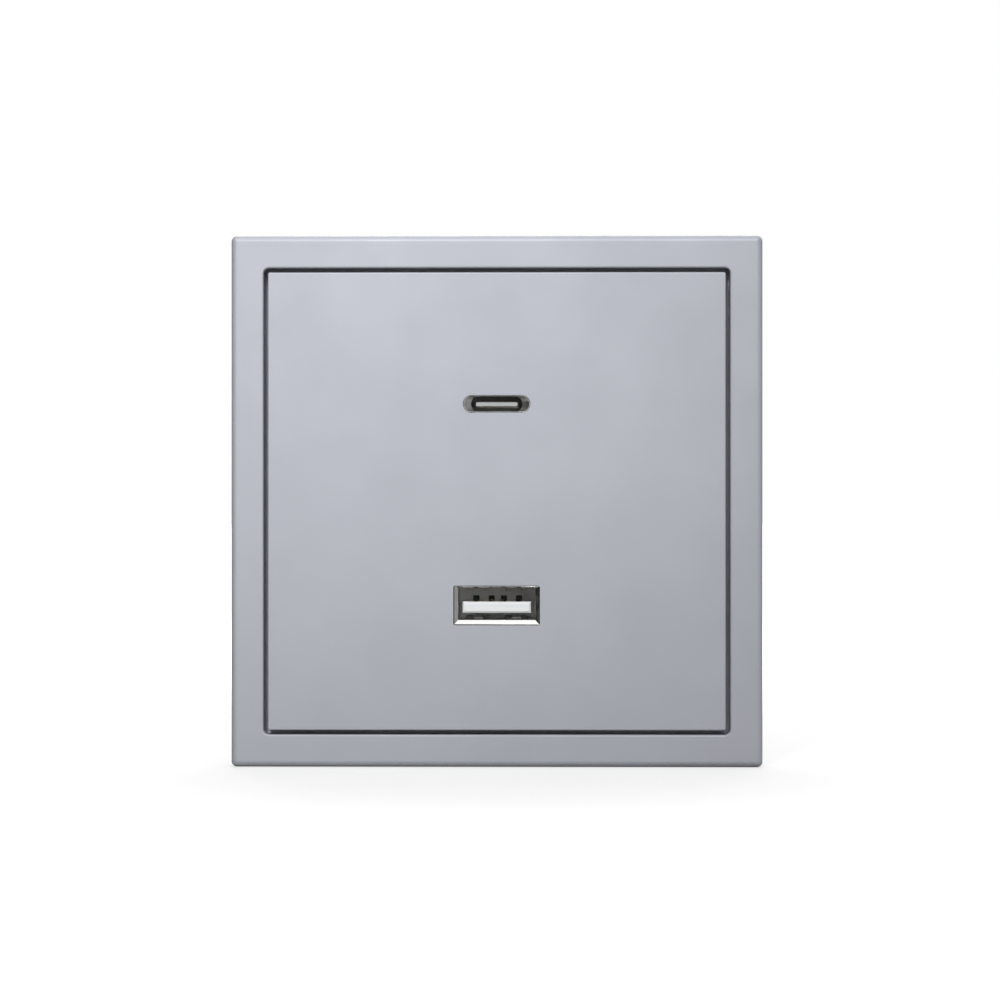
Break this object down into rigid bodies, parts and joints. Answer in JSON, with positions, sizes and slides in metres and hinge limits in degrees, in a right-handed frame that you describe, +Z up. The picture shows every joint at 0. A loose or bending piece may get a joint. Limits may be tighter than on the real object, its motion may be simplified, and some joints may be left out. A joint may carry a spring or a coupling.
{
  "type": "smart socket",
  "caption": "Flush square wall socket for charging, with a satin frame and cover, a USB-C port above a USB-A port, a steel yoke and a vented rear housing with clamp terminals.",
  "frame": {"origin": "midway between the two fixing slots of the yoke, on the wall plane", "axes": "+Y into the wall, -Y out into the room, +Z up, +X to the right as seen from the room"},
  "size_m": [0.086, 0.0351, 0.086],
  "materials": {
    "silver_paint": "satin metallic paint on moulded plastic",
    "zinc_steel": "zinc-plated sheet",
    "black_plastic": "fine matt moulding",
    "charcoal_plastic": "fine spark-eroded moulding",
    "screw_steel": "zinc-plated",
    "board_laminate": "green solder mask on laminate",
    "barrier_film": "translucent film",
    "gold_plate": "thin gold plating",
    "nickel_plate": "bright nickel on stamped steel",
    "white_moulding": "white, slightly glossy",
    "grey_moulding": "light grey moulding",
    "white_nylon": "natural nylon",
    "terminal_brass": "plain stamped brass",
    "terminal_steel": "zinc-plated",
    "ferrite": "dark sintered ferrite",
    "winding_tape": "yellow polyester tape",
    "tinned_lead": "tinned wire",
    "capacitor_sleeve": "shrunk sleeve",
    "capacitor_can": "drawn can",
    "film_box": "yellow moulded box",
    "fuse_box": "black moulded box",
    "disc_coating": "blue dipped coating",
    "chip_epoxy": "moulded epoxy",
    "chip_ceramic": "sintered ceramic"
  },
  "bodies": {
    "socket": {"outer_frame": "silver_paint", "cover_plate": "silver_paint", "steel_yoke": "zinc_steel", "front_housing": "black_plastic", "rear_housing": "charcoal_plastic", "case_screws": "screw_steel", "port_board": "board_laminate", "main_board": "board_laminate", "barrier_sheet": "barrier_film", "link_pins": "gold_plate", "link_collar": "black_plastic", "usb_a_shell": "nickel_plate", "usb_a_insulator": "white_moulding", "usb_a_contacts": "gold_plate", "usb_c_shell": "nickel_plate", "usb_c_insulator": "grey_moulding", "usb_c_contacts": "gold_plate", "terminal_block": "white_nylon", "live_bar": "terminal_brass", "neutral_bar": "terminal_brass", "transformer_core": "ferrite", "transformer_bobbin": "black_plastic", "transformer_winding": "winding_tape", "transformer_pins": "tinned_lead", "input_capacitors": "capacitor_sleeve", "output_capacitors": "capacitor_can", "line_capacitor": "film_box", "fuse": "fuse_box", "varistor": "disc_coating", "safety_capacitor": "disc_coating", "line_choke": "ferrite", "bridge_rectifier": "chip_epoxy", "power_switch_chip": "chip_epoxy", "output_rectifier_chip": "chip_epoxy", "optocoupler": "chip_epoxy", "charge_controller_chip": "chip_epoxy", "output_inductor": "ferrite", "ceramic_capacitors": "chip_ceramic"},
    "live_screw_body": {"live_screw": "screw_steel"},
    "live_clamp_body": {"live_clamp": "terminal_steel"},
    "neutral_screw_body": {"neutral_screw": "screw_steel"},
    "neutral_clamp_body": {"neutral_clamp": "terminal_steel"}
  },
  "joints": [
    {"name": "live_screw_turn", "type": "hinge", "parent": "socket", "child": "live_screw_body", "pos_m": [-0.0085, 0.0234, -0.0206], "axis": [0, -1, 0], "range_deg": [0, 1800]},
    {"name": "live_clamp_slide", "type": "slide", "parent": "socket", "child": "live_clamp_body", "axis": [0, 1, 0], "range_m": [0, 0.003]},
    {"name": "neutral_screw_turn", "type": "hinge", "parent": "socket", "child": "neutral_screw_body", "pos_m": [0.0085, 0.0234, -0.0206], "axis": [0, -1, 0], "range_deg": [0, 1800]},
    {"name": "neutral_clamp_slide", "type": "slide", "parent": "socket", "child": "neutral_clamp_body", "axis": [0, 1, 0], "range_m": [0, 0.003]}
  ],
  "couplings": [
    {"joint": "live_screw_turn", "follows": "live_clamp_slide", "rad_per_m": 10472},
    {"joint": "neutral_screw_turn", "follows": "neutral_clamp_slide", "rad_per_m": 10472}
  ]
}
